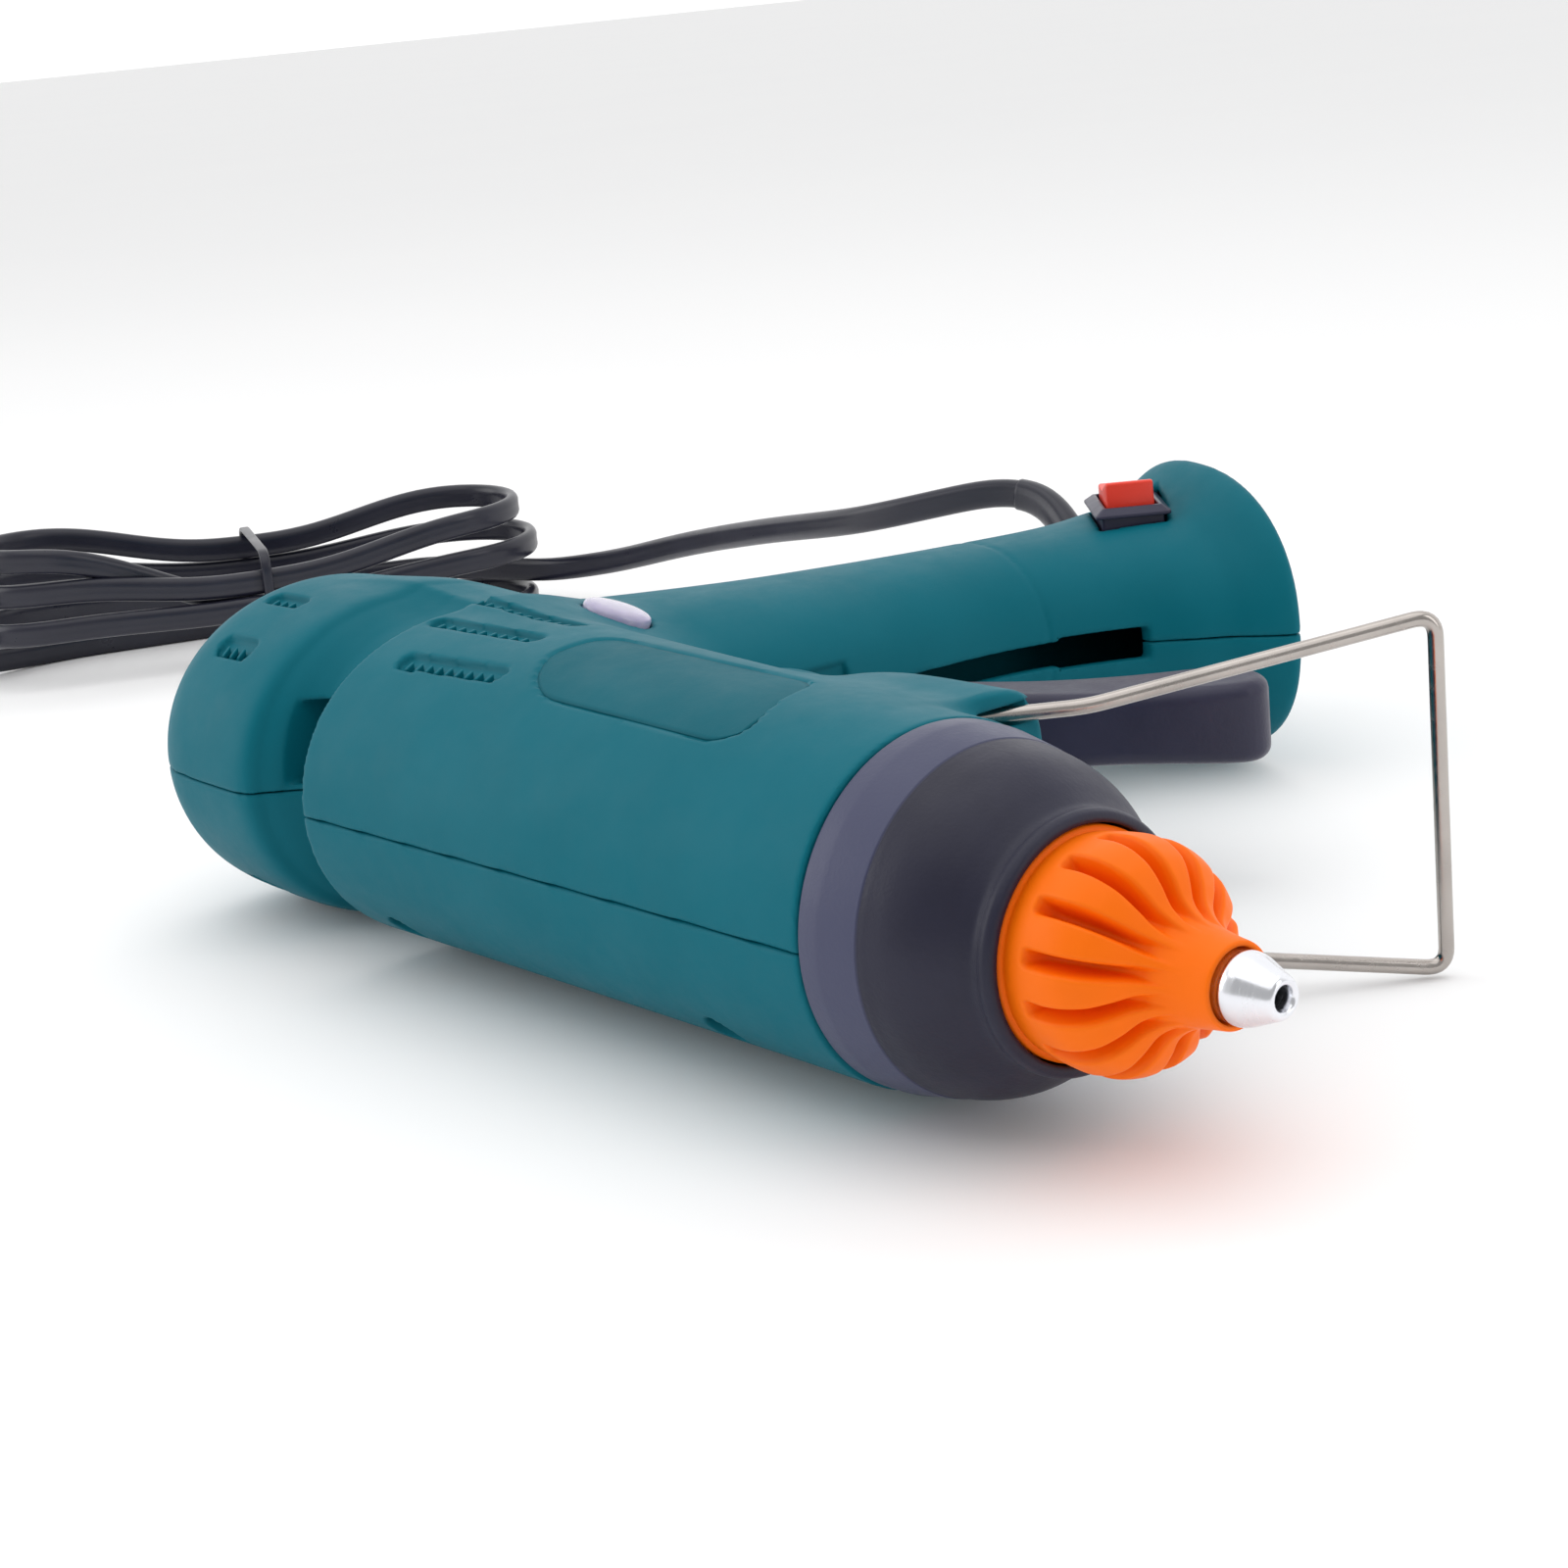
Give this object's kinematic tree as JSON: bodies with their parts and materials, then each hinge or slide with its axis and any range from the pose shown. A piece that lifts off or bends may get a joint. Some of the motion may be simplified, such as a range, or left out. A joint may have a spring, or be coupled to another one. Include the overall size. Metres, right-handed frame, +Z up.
{
  "type": "hot-melt glue gun",
  "caption": "Corded pistol-grip hot-melt glue gun with a long pull trigger, insulated nozzle, folding wire stand, rocker switch and a hanked mains lead.",
  "frame": {"origin": "bottom centre of the gun's box without its cord, on the surface it lies on", "axes": "+X the way the nozzle points, +Y along the handle towards its end, +Z up, the gun's left side"},
  "size_m": [0.5325, 0.2308, 0.0609],
  "materials": {
    "body_plastic": "moulded, fine satin texture",
    "dark_plastic": "heat resistant, satin",
    "trim_plastic": "satin",
    "orange_silicone": "matte silicone",
    "aluminium": "turned",
    "nickel_wire": "nickel plated",
    "red_plastic": "semi gloss",
    "lens_plastic": "translucent lilac",
    "cord_rubber": "satin",
    "steel": "zinc plated",
    "ceramic": "unglazed",
    "inner_silicone": "heat resistant"
  },
  "bodies": {
    "housing": {"left_shell": "body_plastic", "right_shell": "body_plastic", "shell_screw_1": "steel", "shell_screw_2": "steel", "shell_screw_3": "steel", "shell_screw_4": "steel", "shell_screw_5": "steel", "shell_screw_6": "steel", "nose_collar": "dark_plastic", "heat_shield": "steel", "nozzle_cover": "orange_silicone", "nozzle": "aluminium", "melt_chamber": "aluminium", "heater_cartridge": "steel", "thermal_fuse": "ceramic", "inlet_sleeve": "inner_silicone", "guide_tube": "trim_plastic", "return_spring": "steel", "trigger_pin": "steel", "indicator_lens": "lens_plastic", "indicator_lamp": "lens_plastic", "switch_housing": "dark_plastic", "strain_relief": "cord_rubber", "terminal_block": "inner_silicone", "heater_lead_1": "inner_silicone", "heater_lead_2": "inner_silicone", "cord_lead": "cord_rubber", "cord_hank": "cord_rubber", "cord_tie": "cord_rubber", "cord_tail": "cord_rubber", "plug_body": "cord_rubber", "plug_pin_1": "nickel_wire", "plug_pin_2": "nickel_wire"},
    "trigger": {"trigger": "trim_plastic"},
    "feed_carriage": {"feed_carriage": "trim_plastic", "stick_clamp": "steel"},
    "wire_stand": {"wire_stand": "nickel_wire"},
    "switch_rocker": {"switch_rocker": "red_plastic"}
  },
  "joints": [
    {"name": "trigger_squeeze", "type": "hinge", "parent": "housing", "child": "trigger", "pos_m": [-0.02935, -0.02995, 0.0301], "axis": [0, 0, 1], "range_deg": [0, 25], "stiffness_Nm_per_rad": 1, "deforming": ["return_spring"]},
    {"name": "carriage_slide", "type": "slide", "parent": "housing", "child": "feed_carriage", "axis": [1, 0, 0], "range_m": [0, 0.01386]},
    {"name": "stand_fold", "type": "hinge", "parent": "housing", "child": "wire_stand", "pos_m": [0.04365, -0.05296, 0.0301], "axis": [0, 0, 1], "range_deg": [-52, 0]},
    {"name": "switch_rock", "type": "hinge", "parent": "housing", "child": "switch_rocker", "pos_m": [-0.05035, 0.07655, 0.0516], "axis": [0.6101, 0.7923, 0], "range_deg": [0, 20]}
  ],
  "couplings": [
    {"joint": "carriage_slide", "follows": "trigger_squeeze", "m_per_rad": 0.03174}
  ]
}
